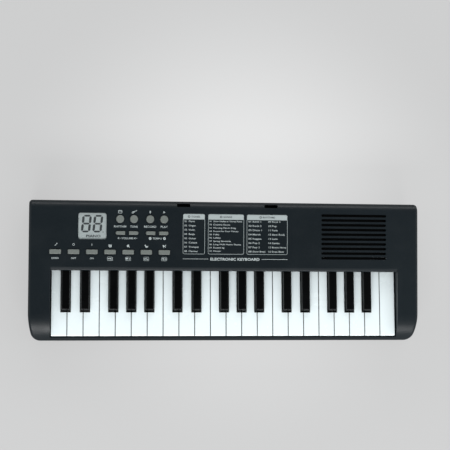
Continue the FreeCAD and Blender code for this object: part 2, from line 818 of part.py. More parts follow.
def circuit_boards():
    """Boards with what is soldered to them, the display module, the socket, and the wires."""
    pieces = []
    key_board_top = key_board_bottom + board_thickness
    pieces.append(box(
        (-key_board_reach, contact_y - 9.0, key_board_bottom),
        (key_board_reach, contact_y + 9.0, key_board_top),
    ))
    board_low = button_board_top - board_thickness
    centre = (-126.0, 38.0)
    board = rounded_plate(140.0, 56.0, 1.0, board_low, button_board_top)
    chip = rounded_plate(14.0, 14.0, 6.0, board_low - 1.2, board_low)
    chip.translate(Vector(20, -8, 0))
    pieces_below = [chip]
    for number in range(4):
        can = cylinder(2.5, (-10.0 + 9.0 * number, 14.0, board_low - 7.0), (0, 0, 1), 7.0)
        pieces_below.append(can)
    board = on_panel(one_solid(board.fuse(pieces_below)), *centre)
    holes = []
    for x, y in screw_places:
        holes.append(cylinder(4.0, (-x, y, 0), (0, 0, 1), 60))
    pieces.append(one_solid(board.cut(holes)))
    width, depth = window_size
    module = box(
        (-width / 2 - 1, -depth / 2 + 1, button_board_top),
        (width / 2 + 1, depth / 2 - 1, -wall - 0.3),
    )
    pieces.append(on_panel(module, *window_centre))
    x, z = socket_place
    seat = case_rear - wall - 0.3
    body = box((x - 4.0, seat - socket_length, z - 4.0), (x + 4.0, seat, z + 4.0))
    nose = cylinder(3.0, (x, seat, z), (0, 1, 0), wall)
    bore_start = case_rear - 0.3 - socket_length
    bore = cylinder(socket_radius, (x, bore_start, z), (0, 1, 0), socket_length + 1)
    pieces.append(one_solid(body.fuse(nose).cut(bore)))
    for start, corner, end in (
        ((-50.0, 59.0, 24.0), (86.0, 59.0, 24.0), (112.0, 50.0, 24.0)),
        ((-50.0, 56.5, 24.0), (86.0, 56.5, 24.0), (112.0, 47.0, 24.0)),
    ):
        pieces.append(wire(start, corner, end))
    return Part.makeCompound(pieces)


def wire(start, corner, end):
    """An insulated wire in two straight runs with a round bend."""
    points = [Vector(*start), Vector(*corner), Vector(*end)]
    path = Part.Wire(rounded_outline(points, [12.0]))
    ring = Part.Wire([Part.makeCircle(0.7, points[0], points[1] - points[0])])
    return path.makePipeShell([ring], True, False)


def battery_contacts():
    """Metal plates and coil springs at both ends of the battery bay."""
    pieces = []
    rows = ((bay_front + bay_rear) / 2 - 7.8, (bay_front + bay_rear) / 2 + 7.8)
    for side in (-1, 1):
        for number, y in enumerate(rows):
            x = side * (bay_half_width - 0.6)
            plate = box((x - 0.25, y - 5.5, 6.5), (x + 0.25, y + 5.5, 17.5))
            if (number == 0) == (side == 1):
                coil = Part.makeHelix(1.4, 3.6, 3.4)
                start = Part.makeCircle(0.35, Vector(3.4, 0, 0), Vector(0, 1, 0))
                spring = Part.Wire(coil).makePipeShell([Part.Wire([start])], True, False)
                spring.rotate(Vector(0, 0, 0), Vector(0, 1, 0), -90 * side)
                spring.translate(Vector(x - side * 0.3, y, 12.0))
                plate = plate.fuse(spring)
            pieces.append(plate)
    return Part.makeCompound(pieces)


def case_screws():
    """Self-tapping pan-head screws with a cross recess."""
    screws = []
    for x, y in screw_places:
        for side in (-1, 1):
            head = cylinder(screw_head_radius, (0, 0, screw_seat - 1.9), (0, 0, 1), 1.9)
            rim = [
                edge for edge in head.Edges
                if all(abs(v.Z - screw_seat + 1.9) < 1e-6 for v in edge.Vertexes)
            ]
            head = head.makeFillet(0.7, rim)
            length = screw_shank_end - screw_seat
            shank = cylinder(screw_shank_radius, (0, 0, screw_seat), (0, 0, 1), length)
            cross = [
                box((-1.6, -0.35, 0), (1.6, 0.35, 4.3)),
                box((-0.35, -1.6, 0), (0.35, 1.6, 4.3)),
            ]
            screw = one_solid(head.fuse(shank).cut(cross))
            screw.translate(Vector(side * x, y, 0))
            screws.append(screw)
    return Part.makeCompound(screws)


def build():
    save("top_case", top_case())
    save("bottom_case", bottom_case())
    save("battery_cover", battery_cover())
    rod_end = (-rod_half_length, pivot_y, pivot_height)
    save("key_pivot_rod", cylinder(rod_radius, rod_end, (1, 0, 0), 2 * rod_half_length))
    save("display_window", display_window())
    save("speaker", speaker())
    save("circuit_boards", circuit_boards())
    save("contact_rubber", contact_rubber())
    save("battery_contacts", battery_contacts())
    save("case_screws", case_screws())
    for index in range(white_count):
        save("white_key_%02d" % (index + 1), white_key(index))
    blacks = [x for x in map(black_centre, range(white_count)) if x is not None]
    for number, centre in enumerate(blacks):
        save("black_key_%02d" % (number + 1), black_key(centre))
    shapes = {"bar": bar_button(), "round": round_button()}
    for name, form, x, y in button_places():
        save(name, on_panel(shapes[form], x, y))
    for name, x in rockers.items():
        save(name, on_panel(rocker(), x, rocker_row_y))


build()
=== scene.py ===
import bpy
import json
import math
from mathutils import Euler, Matrix, Vector


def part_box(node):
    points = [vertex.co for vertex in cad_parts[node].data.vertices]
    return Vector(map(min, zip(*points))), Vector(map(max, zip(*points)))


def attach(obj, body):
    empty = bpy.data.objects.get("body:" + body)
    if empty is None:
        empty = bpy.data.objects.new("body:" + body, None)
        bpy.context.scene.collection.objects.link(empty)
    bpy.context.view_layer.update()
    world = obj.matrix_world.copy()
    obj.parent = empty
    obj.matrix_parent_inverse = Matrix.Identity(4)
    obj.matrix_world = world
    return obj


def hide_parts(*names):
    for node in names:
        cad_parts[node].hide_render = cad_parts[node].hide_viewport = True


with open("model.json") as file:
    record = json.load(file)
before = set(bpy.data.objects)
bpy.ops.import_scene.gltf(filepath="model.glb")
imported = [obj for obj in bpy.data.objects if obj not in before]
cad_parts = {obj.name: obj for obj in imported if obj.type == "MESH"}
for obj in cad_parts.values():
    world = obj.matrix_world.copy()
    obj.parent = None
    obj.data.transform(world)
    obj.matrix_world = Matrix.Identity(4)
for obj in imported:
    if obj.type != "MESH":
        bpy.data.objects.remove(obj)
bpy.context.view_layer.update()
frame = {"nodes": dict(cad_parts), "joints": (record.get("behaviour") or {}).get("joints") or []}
cadNodes = frame["nodes"]
mm = 0.001
print("frame loaded:", len(cadNodes), "CAD nodes")

# The panel is a tilted plane: its normal is the way the buttons rise, and the window's top lies in it
demoJoint = next(j for j in frame["joints"] if j["name"] == "button_demo_press")
panelNormal = -Vector(demoJoint["axis"]).normalized()
panelTilt = math.atan2(-panelNormal.y, panelNormal.z)
panelPoint = max((v.co for v in cadNodes["display_window"].data.vertices), key=lambda co: co.z).copy()


def panelHeight(y):
    return panelPoint.z + (y - panelPoint.y) * math.tan(panelTilt)


def middle(node):
    low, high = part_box(node)
    return (low + high) / 2


# small helpers for modelling

def deselectAll():
    if bpy.context.mode != "OBJECT":
        bpy.ops.object.mode_set(mode="OBJECT")
    bpy.ops.object.select_all(action="DESELECT")


def editAll():
    bpy.ops.object.mode_set(mode="EDIT")
    bpy.ops.mesh.select_all(action="SELECT")


def leaveEdit():
    bpy.ops.object.mode_set(mode="OBJECT")


def applyModifier(obj, kind, **values):
    bpy.context.view_layer.objects.active = obj
    mod = obj.modifiers.new(kind.title(), kind)
    for key, value in values.items():
        setattr(mod, key, value)
    bpy.ops.object.modifier_apply(modifier=mod.name)


def joinPieces(pieces, name):
    deselectAll()
    for piece in pieces:
        piece.select_set(True)
    bpy.context.view_layer.objects.active = pieces[0]
    if len(pieces) > 1:
        bpy.ops.object.join()
    joined = bpy.context.view_layer.objects.active
    joined.name = name
    joined.data.name = name
    return joined


# x and y in metres in the row frame
def layOnPanel(obj, x, y):
    place = Matrix.Translation(Vector((x, y, panelHeight(y))))
    obj.data.transform(place @ Matrix.Rotation(panelTilt, 4, "X") @ obj.matrix_world)
    obj.matrix_world = Matrix.Identity(4)
    return obj


def finishPiece(obj, material, body="case"):
    obj.data.materials.clear()
    obj.data.materials.append(material)
    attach(obj, body)
    return obj


# shared shader effects: node groups that give masks and heights

def startGroup(name, inputs, outputs):
    group = bpy.data.node_groups.new(name, "ShaderNodeTree")
    for label, kind, value in inputs:
        socket = group.interface.new_socket(name=label, in_out="INPUT", socket_type=kind)
        socket.default_value = value
    for label, kind in outputs:
        group.interface.new_socket(name=label, in_out="OUTPUT", socket_type=kind)
    return group, group.nodes.new("NodeGroupInput"), group.nodes.new("NodeGroupOutput")


def addNode(tree, kind, **values):
    node = tree.nodes.new(kind)
    for key, value in values.items():
        setattr(node, key, value)
    return node


def mathNode(tree, operation, first, second=None, clamp=False):
    node = addNode(tree, "ShaderNodeMath", operation=operation, use_clamp=clamp)
    for slot, value in enumerate((first, second)):
        if value is None:
            continue
        if isinstance(value, (int, float)):
            node.inputs[slot].default_value = value
        else:
            tree.links.new(value, node.inputs[slot])
    return node.outputs[0]


def remap(tree, value, low, high, outLow=0.0, outHigh=1.0):
    node = addNode(tree, "ShaderNodeMapRange", clamp=True, interpolation_type="SMOOTHSTEP")
    tree.links.new(value, node.inputs["Value"])
    for label, number in zip(("From Min", "From Max", "To Min", "To Max"), (low, high, outLow, outHigh)):
        if isinstance(number, (int, float)):
            node.inputs[label].default_value = number
        else:
            tree.links.new(number, node.inputs[label])
    return node.outputs["Result"]


def noise(tree, vector, scale, detail=2.0, roughness=0.5):
    node = addNode(tree, "ShaderNodeTexNoise")
    tree.links.new(vector, node.inputs["Vector"])
    if isinstance(scale, (int, float)):
        node.inputs["Scale"].default_value = scale
    else:
        tree.links.new(scale, node.inputs["Scale"])
    node.inputs["Detail"].default_value = detail
    node.inputs["Roughness"].default_value = roughness
    return node.outputs["Fac"]


# the spark-eroded texture that a steel mould leaves on plastic
def makeMouldGrain():
    group, given, made = startGroup(
        "mouldGrain",
        [("Vector", "NodeSocketVector", (0, 0, 0)), ("Scale", "NodeSocketFloat", 1500.0)],
        [("Height", "NodeSocketFloat"), ("Shade", "NodeSocketFloat")],
    )
    fine = noise(group, given.outputs["Vector"], given.outputs["Scale"], 3.0, 0.6)
    cells = addNode(group, "ShaderNodeTexVoronoi", feature="SMOOTH_F1")
    group.links.new(given.outputs["Vector"], cells.inputs["Vector"])
    group.links.new(mathNode(group, "MULTIPLY", given.outputs["Scale"], 0.6), cells.inputs["Scale"])
    pits = remap(group, cells.outputs["Distance"], 0.15, 0.75)
    finePart = mathNode(group, "MULTIPLY", fine, 0.6)
    height = mathNode(group, "ADD", finePart, mathNode(group, "MULTIPLY", pits, 0.4))
    group.links.new(height, made.inputs["Height"])
    group.links.new(remap(group, height, 0.25, 0.75), made.inputs["Shade"])
    return group


# faint finger smears and hairline scratches from use
def makeHandling():
    group, given, made = startGroup(
        "handling",
        [("Vector", "NodeSocketVector", (0, 0, 0)), ("Smear Size", "NodeSocketFloat", 45.0)],
        [("Smears", "NodeSocketFloat"), ("Scratches", "NodeSocketFloat")],
    )
    broad = noise(group, given.outputs["Vector"], given.outputs["Smear Size"], 3.0, 0.55)
    stretched = addNode(group, "ShaderNodeMapping")
    group.links.new(given.outputs["Vector"], stretched.inputs["Vector"])
    stretched.inputs["Rotation"].default_value = (0.0, 0.0, 0.5)
    stretched.inputs["Scale"].default_value = (60.0, 2600.0, 60.0)
    lines = noise(group, stretched.outputs["Vector"], 1.0, 1.0)
    patches = noise(group, given.outputs["Vector"], 30.0, 1.0)
    few = mathNode(group, "MULTIPLY", remap(group, lines, 0.7, 0.78), remap(group, patches, 0.52, 0.7))
    group.links.new(remap(group, broad, 0.42, 0.72), made.inputs["Smears"])
    group.links.new(few, made.inputs["Scratches"])
    return group


# a paler moulded edge: partly worn by hands, partly a painted highlight where the rounded edge catches
# light
def makeEdgeRubAndHighlight():
    group, given, made = startGroup(
        "edgeRubAndHighlight",
        [
            ("Vector", "NodeSocketVector", (0, 0, 0)),
            ("Width", "NodeSocketFloat", 0.0006),
            ("Breakup", "NodeSocketFloat", 220.0),
        ],
        [("Mask", "NodeSocketFloat")],
    )
    rounded = addNode(group, "ShaderNodeBevel", samples=4)
    group.links.new(given.outputs["Width"], rounded.inputs["Radius"])
    surface = addNode(group, "ShaderNodeNewGeometry")
    dot = addNode(group, "ShaderNodeVectorMath", operation="DOT_PRODUCT")
    group.links.new(rounded.outputs["Normal"], dot.inputs[0])
    group.links.new(surface.outputs["Normal"], dot.inputs[1])
    bent = remap(group, dot.outputs["Value"], 0.995, 0.85)
    patches = noise(group, given.outputs["Vector"], given.outputs["Breakup"], 3.0)
    uneven = remap(group, patches, 0.3, 0.65)
    group.links.new(mathNode(group, "MULTIPLY", bent, uneven), made.inputs["Mask"])
    return group


# a little dust on what faces up
def makeDust():
    group, given, made = startGroup(
        "dust",
        [("Vector", "NodeSocketVector", (0, 0, 0)), ("Amount", "NodeSocketFloat", 0.3)],
        [("Mask", "NodeSocketFloat")],
    )
    surface = addNode(group, "ShaderNodeNewGeometry")
    parts = addNode(group, "ShaderNodeSeparateXYZ")
    group.links.new(surface.outputs["Normal"], parts.inputs[0])
    upward = remap(group, parts.outputs["Z"], 0.6, 1.0)
    specks = remap(group, noise(group, given.outputs["Vector"], 2600.0, 2.0), 0.6, 0.72)
    drift = remap(group, noise(group, given.outputs["Vector"], 24.0, 3.0), 0.35, 0.75)
    both = mathNode(group, "MULTIPLY", mathNode(group, "MULTIPLY", specks, drift), upward)
    group.links.new(mathNode(group, "MULTIPLY", both, given.outputs["Amount"]), made.inputs["Mask"])
    return group


effects = {
    "grain": makeMouldGrain(),
    "handling": makeHandling(),
    "edge": makeEdgeRubAndHighlight(),
    "dust": makeDust(),
}
print("shader effects made:", len(effects))


# materials

def blendColour(tree, mask, low, high):
    mix = addNode(tree, "ShaderNodeMix", data_type="RGBA", blend_type="MIX")
    for label, value in (("A", low), ("B", high)):
        socket = [s for s in mix.inputs if s.name == label and s.type == "RGBA"][0]
        if isinstance(value, tuple):
            socket.default_value = (*value, 1.0)
        else:
            tree.links.new(value, socket)
    tree.links.new(mask, mix.inputs["Factor"])
    return [s for s in mix.outputs if s.type == "RGBA"][0]


def useEffect(tree, key, vector, **values):
    node = addNode(tree, "ShaderNodeGroup", node_tree=effects[key])
    node.label = key
    tree.links.new(vector, node.inputs["Vector"])
    for label, value in values.items():
        node.inputs[label.replace("_", " ")].default_value = value
    return node


def startMaterial(name):
    mat = bpy.data.materials.new(name)
    mat.use_nodes = True
    tree = mat.node_tree
    shader = next(n for n in tree.nodes if n.type == "BSDF_PRINCIPLED")
    vector = addNode(tree, "ShaderNodeTexCoord").outputs["Object"]
    return mat, tree, shader, vector


def addBump(tree, shader, height, depth):
    bump = addNode(tree, "ShaderNodeBump")
    bump.inputs["Strength"].default_value = 1.0
    bump.inputs["Distance"].default_value = depth
    tree.links.new(height, bump.inputs["Height"])
    tree.links.new(bump.outputs["Normal"], shader.inputs["Normal"])


def mouldedPlastic(name, look):
    mat, tree, shader, vector = startMaterial(name)
    grain = useEffect(tree, "grain", vector, Scale=look["grainScale"])
    handling = useEffect(tree, "handling", vector, Smear_Size=45.0)
    dust = useEffect(tree, "dust", vector, Amount=look["dust"])
    drift = remap(tree, noise(tree, vector, 7.0), 0.3, 0.7)
    colour = blendColour(tree, drift, look["colour"], look["colourDrift"])
    shade = mathNode(tree, "MULTIPLY", grain.outputs["Shade"], look["grainShade"])
    colour = blendColour(tree, shade, colour, look["grainColour"])
    if look.get("edgeAmount"):
        edge = useEffect(tree, "edge", vector, Width=look["edgeWidth"])
        rubAndHighlight = mathNode(tree, "MULTIPLY", edge.outputs["Mask"], look["edgeAmount"])
        # paler edges: partly rubbed wear, partly a painted highlight along the rounded edges
        colour = blendColour(tree, rubAndHighlight, colour, look["edgeRubHighlightColour"])
    colour = blendColour(tree, dust.outputs["Mask"], colour, (0.45, 0.44, 0.42))
    if look.get("gapShadeAmount"):
        # painted shade on the walls that face the next key, where the gap between keys lies in shadow
        surface = addNode(tree, "ShaderNodeNewGeometry")
        facing = addNode(tree, "ShaderNodeSeparateXYZ")
        tree.links.new(surface.outputs["Normal"], facing.inputs[0])
        sideways = mathNode(tree, "ABSOLUTE", facing.outputs["X"])
        gap = mathNode(tree, "MULTIPLY", remap(tree, sideways, 0.4, 0.85), look["gapShadeAmount"])
        colour = blendColour(tree, gap, colour, look["gapShadeColour"])
    tree.links.new(colour, shader.inputs["Base Color"])
    low, high = look["roughness"]
    rough = remap(tree, handling.outputs["Smears"], 0.0, 1.0, low, high)
    scratched = mathNode(tree, "MULTIPLY", handling.outputs["Scratches"], look["scratches"])
    rough = mathNode(tree, "ADD", rough, scratched, clamp=True)
    tree.links.new(rough, shader.inputs["Roughness"])
    shader.inputs["Specular IOR Level"].default_value = look.get("specular", 0.5)
    if look.get("coat"):
        shader.inputs["Coat Weight"].default_value = look["coat"]
        shader.inputs["Coat Roughness"].default_value = look["coatRoughness"]
    cuts = mathNode(tree, "MULTIPLY", scratched, 2.0)
    relief = mathNode(tree, "SUBTRACT", grain.outputs["Height"], cuts)
    addBump(tree, shader, relief, look["grainDepth"])
    return mat


plasticLooks = {
    "casePlastic": {
        "colour": (0.0022, 0.0048, 0.0068), "colourDrift": (0.0034, 0.0066, 0.0088),
        "grainColour": (0.012, 0.016, 0.019), "grainShade": 0.2, "grainScale": 1900.0,
        "grainDepth": 0.00002, "roughness": (0.36, 0.42), "scratches": 0.12, "dust": 0.04,
        "specular": 0.2,
    },
    "basePlastic": {
        "colour": (0.01, 0.0125, 0.0145), "colourDrift": (0.0135, 0.016, 0.018),
        "grainColour": (0.03, 0.033, 0.035), "grainShade": 0.4, "grainScale": 1300.0,
        "grainDepth": 0.00005, "roughness": (0.45, 0.55), "scratches": 0.2, "dust": 0.06,
    },
    "whiteKeyPlastic": {
        "colour": (0.64, 0.7, 0.715), "colourDrift": (0.66, 0.72, 0.73),
        "grainColour": (0.71, 0.76, 0.77), "grainShade": 0.2, "grainScale": 900.0,
        "grainDepth": 0.000004, "roughness": (0.2, 0.3), "scratches": 0.15, "coat": 0.25,
        "coatRoughness": 0.12, "edgeWidth": 0.0004, "edgeAmount": 0.3,
        "edgeRubHighlightColour": (0.72, 0.75, 0.75), "gapShadeAmount": 0.85, "gapShadeColour": (0.08, 0.085, 0.085),
        "dust": 0.03,
    },
    "blackKeyPlastic": {
        "colour": (0.0005, 0.0006, 0.0007), "colourDrift": (0.001, 0.0011, 0.0013),
        "grainColour": (0.003, 0.003, 0.0033), "grainShade": 0.15, "grainScale": 1400.0,
        "specular": 0.08, "grainDepth": 0.00001, "roughness": (0.24, 0.34), "scratches": 0.2,
        "edgeWidth": 0.0004, "edgeAmount": 0.15, "edgeRubHighlightColour": (0.03, 0.033, 0.036), "dust": 0.01,
    },
    "buttonPlastic": {
        "colour": (0.1, 0.111, 0.103), "colourDrift": (0.11, 0.121, 0.112),
        "grainColour": (0.145, 0.157, 0.147), "grainShade": 0.4, "grainScale": 2200.0,
        "grainDepth": 0.00002, "roughness": (0.4, 0.5), "scratches": 0.15,
        "edgeWidth": 0.0006, "edgeAmount": 0.75, "edgeRubHighlightColour": (0.3, 0.325, 0.31), "dust": 0.08,
    },
}


def greyRubber():
    mat, tree, shader, vector = startMaterial("greyRubber")
    grain = useEffect(tree, "grain", vector, Scale=1100.0)
    colour = blendColour(tree, grain.outputs["Shade"], (0.19, 0.2, 0.2), (0.24, 0.25, 0.25))
    tree.links.new(colour, shader.inputs["Base Color"])
    rough = remap(tree, noise(tree, vector, 300.0), 0.3, 0.7, 0.6, 0.75)
    tree.links.new(rough, shader.inputs["Roughness"])
    addBump(tree, shader, grain.outputs["Height"], 0.00002)
    return mat


def platedSteel(name, colour, dull, brushed):
    mat, tree, shader, vector = startMaterial(name)
    stretched = addNode(tree, "ShaderNodeMapping")
    tree.links.new(vector, stretched.inputs["Vector"])
    stretched.inputs["Scale"].default_value = brushed
    lines = noise(tree, stretched.outputs["Vector"], 1.0, 3.0)
    patches = noise(tree, vector, 260.0, 3.0)
    mixed = blendColour(tree, remap(tree, patches, 0.35, 0.7), colour, dull)
    tree.links.new(mixed, shader.inputs["Base Color"])
    tree.links.new(remap(tree, lines, 0.3, 0.7, 0.22, 0.42), shader.inputs["Roughness"])
    shader.inputs["Metallic"].default_value = 1.0
    addBump(tree, shader, lines, 0.000008)
    return mat


boardParts = {"low": 12.0, "high": 28.6, "colour": (0.004, 0.004, 0.0045)}


# brown phenolic board with paler runs, and black parts at the height of the socket and wires
def circuitBoard():
    mat, tree, shader, vector = startMaterial("circuitBoard")
    runs = addNode(tree, "ShaderNodeTexBrick", offset=0.37, squash=1.6)
    tree.links.new(vector, runs.inputs["Vector"])
    runs.inputs["Scale"].default_value = 90.0
    runs.inputs["Mortar Size"].default_value = 0.03
    runs.inputs["Mortar Smooth"].default_value = 0.1
    grain = noise(tree, vector, 700.0, 3.0)
    board = blendColour(tree, grain, (0.02, 0.011, 0.005), (0.032, 0.018, 0.008))
    board = blendColour(tree, runs.outputs["Fac"], board, (0.075, 0.045, 0.018))
    place = addNode(tree, "ShaderNodeSeparateXYZ")
    tree.links.new(vector, place.inputs[0])
    above = mathNode(tree, "GREATER_THAN", place.outputs["Z"], boardParts["low"] * mm)
    under = mathNode(tree, "LESS_THAN", place.outputs["Z"], boardParts["high"] * mm)
    parts = mathNode(tree, "MULTIPLY", above, under)
    tree.links.new(blendColour(tree, parts, board, boardParts["colour"]), shader.inputs["Base Color"])
    tree.links.new(remap(tree, grain, 0.3, 0.7, 0.22, 0.36), shader.inputs["Roughness"])
    addBump(tree, shader, runs.outputs["Fac"], 0.00004)
    return mat


# pressed black paper pulp with a rubbed sheen
def paperCone():
    mat, tree, shader, vector = startMaterial("paperCone")
    fibres = noise(tree, vector, 900.0, 5.0, 0.7)
    colour = blendColour(tree, fibres, (0.006, 0.006, 0.007), (0.02, 0.02, 0.021))
    tree.links.new(colour, shader.inputs["Base Color"])
    tree.links.new(remap(tree, fibres, 0.3, 0.7, 0.6, 0.85), shader.inputs["Roughness"])
    addBump(tree, shader, fibres, 0.00008)
    return mat


def clearPane():
    mat, tree, shader, vector = startMaterial("clearPane")
    handling = useEffect(tree, "handling", vector, Smear_Size=120.0)
    smears = handling.outputs["Smears"]
    tree.links.new(remap(tree, smears, 0.0, 1.0, 0.06, 0.14), shader.inputs["Roughness"])
    tree.links.new(remap(tree, smears, 0.0, 1.0, 0.06, 0.09), shader.inputs["Alpha"])
    colour = blendColour(tree, smears, (0.04, 0.05, 0.05), (0.1, 0.11, 0.11))
    tree.links.new(colour, shader.inputs["Base Color"])
    return mat


# plain woven cloth
def blackCloth():
    mat, tree, shader, vector = startMaterial("blackCloth")
    across = addNode(tree, "ShaderNodeTexWave", wave_type="BANDS", bands_direction="X")
    along = addNode(tree, "ShaderNodeTexWave", wave_type="BANDS", bands_direction="Y")
    for wave in (across, along):
        tree.links.new(vector, wave.inputs["Vector"])
        wave.inputs["Scale"].default_value = 700.0
        wave.inputs["Distortion"].default_value = 0.6
    weave = mathNode(tree, "MULTIPLY", across.outputs["Fac"], along.outputs["Fac"])
    colour = blendColour(tree, weave, (0.001, 0.001, 0.001), (0.006, 0.006, 0.006))
    tree.links.new(colour, shader.inputs["Base Color"])
    tree.links.new(remap(tree, weave, 0.0, 1.0, 0.95, 0.8), shader.inputs["Roughness"])
    shader.inputs["Specular IOR Level"].default_value = 0.1
    addBump(tree, shader, weave, 0.0001)
    return mat


# screen-printed ink, a little thin here and there
def printInk(name, colour, worn):
    mat, tree, shader, vector = startMaterial(name)
    thin = remap(tree, noise(tree, vector, 1800.0, 4.0, 0.6), 0.35, 0.6)
    tree.links.new(blendColour(tree, thin, worn, colour), shader.inputs["Base Color"])
    tree.links.new(remap(tree, thin, 0.0, 1.0, 0.55, 0.42), shader.inputs["Roughness"])
    addBump(tree, shader, thin, 0.00001)
    return mat


# the silver reflector behind the digits
def displayFilm():
    mat, tree, shader, vector = startMaterial("displayFilm")
    sparkle = noise(tree, vector, 3500.0, 2.0, 0.7)
    shadeNoise = remap(tree, noise(tree, vector, 40.0), 0.3, 0.7)
    base = blendColour(tree, shadeNoise, (0.29, 0.325, 0.325), (0.335, 0.37, 0.37))
    colour = blendColour(tree, remap(tree, sparkle, 0.5, 0.75), base, (0.42, 0.46, 0.46))
    tree.links.new(colour, shader.inputs["Base Color"])
    tree.links.new(remap(tree, sparkle, 0.3, 0.7, 0.38, 0.5), shader.inputs["Roughness"])
    addBump(tree, shader, sparkle, 0.00001)
    return mat


materials = {name: mouldedPlastic(name, look) for name, look in plasticLooks.items()}
materials["greyRubber"] = greyRubber()
materials["zincSteel"] = platedSteel(
    "zincSteel", (0.62, 0.63, 0.65), (0.42, 0.43, 0.45), (90.0, 3000.0, 3000.0))
materials["springSteel"] = platedSteel(
    "springSteel", (0.68, 0.69, 0.7), (0.5, 0.5, 0.5), (900.0, 900.0, 900.0))
materials["circuitBoard"] = circuitBoard()
materials["paperCone"] = paperCone()
materials["blackCloth"] = blackCloth()
materials["clearPane"] = clearPane()
materials["paleInk"] = printInk("paleInk", (0.38, 0.42, 0.42), (0.27, 0.3, 0.3))
materials["barInk"] = printInk("barInk", (0.3, 0.34, 0.34), (0.26, 0.29, 0.29))
materials["darkInk"] = printInk("darkInk", (0.02, 0.024, 0.027), (0.05, 0.055, 0.06))
materials["digitInk"] = printInk("digitInk", (0.012, 0.015, 0.017), (0.025, 0.03, 0.033))
materials["displayFilm"] = displayFilm()
print("materials made:", len(materials))


# the slot and finish of every CAD node
rootFinish = {
    "top_case": "casePlastic",
    "bottom_case": "basePlastic",
    "battery_cover": "basePlastic",
    "key_pivot_rod": "zincSteel",
    "display_window": "clearPane",
    "circuit_boards": "circuitBoard",
    "contact_rubber": "greyRubber",
    "speaker": "paperCone",
    "battery_contacts": "springSteel",
    "case_screws": "zincSteel",
}


def finishOf(node):
    if node in rootFinish:
        return rootFinish[node]
    if node.startswith("white_key"):
        return "whiteKeyPlastic"
    if node.startswith("black_key"):
        return "blackKeyPlastic"
    return "buttonPlastic"


for node, obj in cadNodes.items():
    obj.data.materials.clear()
    obj.data.materials.append(materials[finishOf(node)])
print("CAD nodes painted")


# printing on the panel
ink = {"thickness": 0.05, "capShare": 0.729}   # mm of ink, and a capital's share of the font size


def thicken(obj):
    applyModifier(obj, "SOLIDIFY", thickness=ink["thickness"] * mm, offset=0.0)


def printWords(words, x, y, cap, width=None, align="CENTER", bold=0.0, lineGap=None):
    # sizes in mm, y is the middle of the first line's capitals
    deselectAll()
    bpy.ops.object.text_add(location=(0, 0, 0))
    obj = bpy.context.object
    curve = obj.data
    curve.body = words
    curve.size = cap / ink["capShare"] * mm
    curve.align_x = align
    curve.align_y = "TOP_BASELINE"
    curve.extrude = ink["thickness"] * mm / 2
    curve.offset = bold * mm
    curve.resolution_u = 2
    if lineGap:
        curve.space_line = lineGap / (cap / ink["capShare"])
    bpy.ops.object.convert(target="MESH")
    obj = bpy.context.object
    shift = Matrix.Translation((0, -cap * mm / 2, 0))
    if width:
        xs = [v.co.x for v in obj.data.vertices]
        shift = shift @ Matrix.Scale(width * mm / (max(xs) - min(xs)), 4, (1, 0, 0))
    obj.data.transform(shift)
    return layOnPanel(obj, x * mm, y * mm)


def printOutline(x, y, width, height, radius, line):
    # a rounded frame of one line width
    deselectAll()
    bpy.ops.mesh.primitive_plane_add(size=1.0)
    obj = bpy.context.object
    obj.data.transform(Matrix.Diagonal((width * mm, height * mm, 1.0, 1.0)))
    editAll()
    bpy.ops.mesh.bevel(offset=radius * mm, offset_pct=0, segments=5, affect="VERTICES")
    bpy.ops.mesh.inset(thickness=line * mm, depth=0.0)
    bpy.ops.mesh.delete(type="FACE")
    leaveEdit()
    thicken(obj)
    return layOnPanel(obj, x * mm, y * mm)


def printBar(x, y, width, height, turn=0.0, radius=0.0):
    deselectAll()
    bpy.ops.mesh.primitive_plane_add(size=1.0)
    obj = bpy.context.object
    obj.data.transform(Matrix.Diagonal((width * mm, height * mm, 1.0, 1.0)))
    if radius:
        editAll()
        bpy.ops.mesh.bevel(offset=radius * mm, offset_pct=0, segments=4, affect="VERTICES")
        leaveEdit()
    thicken(obj)
    obj.data.transform(Matrix.Rotation(math.radians(turn), 4, "Z"))
    return layOnPanel(obj, x * mm, y * mm)


def printHead(x, y, width, height, radius):
    # a bar with rounds at its two upper corners, x and y in the middle of its upper edge
    deselectAll()
    bpy.ops.mesh.primitive_plane_add(size=1.0)
    obj = bpy.context.object
    obj.data.transform(Matrix.Diagonal((width * mm, 2 * height * mm, 1.0, 1.0)))
    editAll()
    bpy.ops.mesh.bevel(offset=radius * mm, offset_pct=0, segments=5, affect="VERTICES")
    bpy.ops.mesh.select_all(action="SELECT")
    bpy.ops.mesh.bisect(plane_co=(0, 0, 0), plane_no=(0, 1, 0), clear_inner=True)
    leaveEdit()
    thicken(obj)
    obj.data.transform(Matrix.Translation((0, -height * mm, 0)))
    return layOnPanel(obj, x * mm, y * mm)


def printDisc(x, y, width, height, sides=20, line=None, turn=0.0):
    # a filled ellipse or polygon, or only its line
    deselectAll()
    bpy.ops.mesh.primitive_circle_add(vertices=sides, radius=0.5, fill_type="NGON")
    obj = bpy.context.object
    obj.data.transform(Matrix.Diagonal((width * mm, height * mm, 1.0, 1.0)))
    if line:
        editAll()
        bpy.ops.mesh.inset(thickness=line * mm, depth=0.0)
        bpy.ops.mesh.delete(type="FACE")
        leaveEdit()
    thicken(obj)
    obj.data.transform(Matrix.Rotation(math.radians(turn), 4, "Z"))
    return layOnPanel(obj, x * mm, y * mm)


def spot(node):
    # middle of a button on the panel, in mm
    centre = middle(node) / mm
    return centre.x, centre.y


labels = {
    "cap": 2.25,
    "bold": 0.03,
    "below": 8.2,
    "iconAbove": 7.5,
    "round": {"button_rhythm": ("RHYTHM", 13.0), "button_tone": ("TONE", 8.2),
              "button_record": ("RECORD", 13.1), "button_play": ("PLAY", 7.5)},
    "bars": {"button_demo": ("DEMO", 7.6), "button_power_off": ("OFF", 5.6),
             "button_power_on": ("ON", 4.0)},
    "barBelow": 7.0,
    "rockerBelow": 5.9,
}


